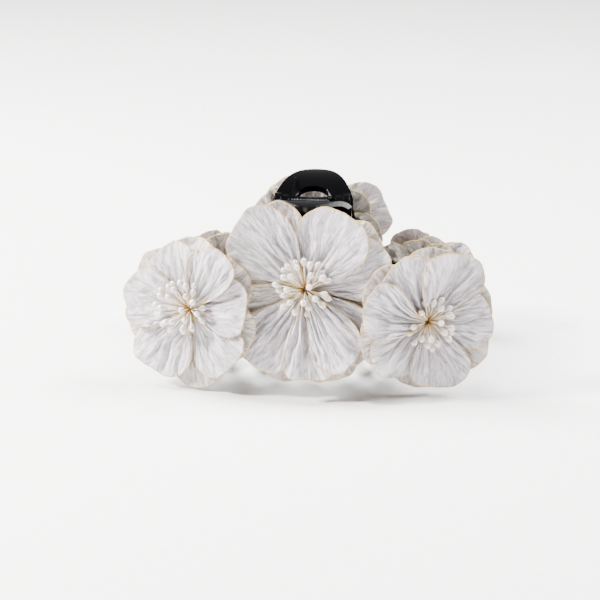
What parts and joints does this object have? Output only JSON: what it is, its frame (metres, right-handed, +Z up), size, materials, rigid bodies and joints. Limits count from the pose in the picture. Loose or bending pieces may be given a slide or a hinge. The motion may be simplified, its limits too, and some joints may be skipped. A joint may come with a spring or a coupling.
{
  "type": "flower hair clip",
  "caption": "Sprung hair claw with toothed jaws, thumb grips and layered fabric flowers with pearl-tipped stamens on each jaw.",
  "frame": {"origin": "on the surface the closed claw stands on, midway along the hinge and below it", "axes": "+X along the hinge pin, -Y out of the front jaw's flowers, +Z up through the hinge"},
  "size_m": [0.131, 0.0961, 0.0662],
  "materials": {
    "jaw_plastic": "moulded black plastic with a polished gloss",
    "pin_steel": "blackened steel wire, cut and slightly domed ends",
    "spring_steel": "black-coated spring wire, satin",
    "petal_fabric": "off-white crepe with a fine crinkle, heat-set creases and a thin ochre raw edge",
    "pearl": "pearlescent lacquered drops",
    "stamen_stem": "waxed cotton thread, stained ochre towards the root",
    "hot_melt": "milky hot-melt adhesive, satin"
  },
  "bodies": {
    "rear_half": {"rear_jaw": "jaw_plastic", "hinge_pin": "pin_steel", "torsion_spring": "spring_steel", "rear_left_glue_pad": "hot_melt", "rear_left_stamen_bundle": "stamen_stem", "rear_left_lower_petals": "petal_fabric", "rear_left_upper_petals": "petal_fabric", "rear_left_stamen_threads": "stamen_stem", "rear_left_pearl_tips": "pearl", "rear_centre_glue_pad": "hot_melt", "rear_centre_stamen_bundle": "stamen_stem", "rear_centre_lower_petals": "petal_fabric", "rear_centre_upper_petals": "petal_fabric", "rear_centre_stamen_threads": "stamen_stem", "rear_centre_pearl_tips": "pearl", "rear_right_glue_pad": "hot_melt", "rear_right_stamen_bundle": "stamen_stem", "rear_right_lower_petals": "petal_fabric", "rear_right_upper_petals": "petal_fabric", "rear_right_stamen_threads": "stamen_stem", "rear_right_pearl_tips": "pearl"},
    "front_half": {"front_jaw": "jaw_plastic", "front_left_glue_pad": "hot_melt", "front_left_stamen_bundle": "stamen_stem", "front_left_lower_petals": "petal_fabric", "front_left_upper_petals": "petal_fabric", "front_left_stamen_threads": "stamen_stem", "front_left_pearl_tips": "pearl", "front_centre_glue_pad": "hot_melt", "front_centre_stamen_bundle": "stamen_stem", "front_centre_lower_petals": "petal_fabric", "front_centre_upper_petals": "petal_fabric", "front_centre_stamen_threads": "stamen_stem", "front_centre_pearl_tips": "pearl", "front_right_glue_pad": "hot_melt", "front_right_stamen_bundle": "stamen_stem", "front_right_lower_petals": "petal_fabric", "front_right_upper_petals": "petal_fabric", "front_right_stamen_threads": "stamen_stem", "front_right_pearl_tips": "pearl"}
  },
  "joints": [
    {"name": "jaw_hinge", "type": "hinge", "parent": "rear_half", "child": "front_half", "pos_m": [0, 0, 0.058], "axis": [-1, 0, 0], "range_deg": [0, 60], "stiffness_Nm_per_rad": 0.2, "springref_deg": -68.75, "deforming": ["torsion_spring"]}
  ]
}
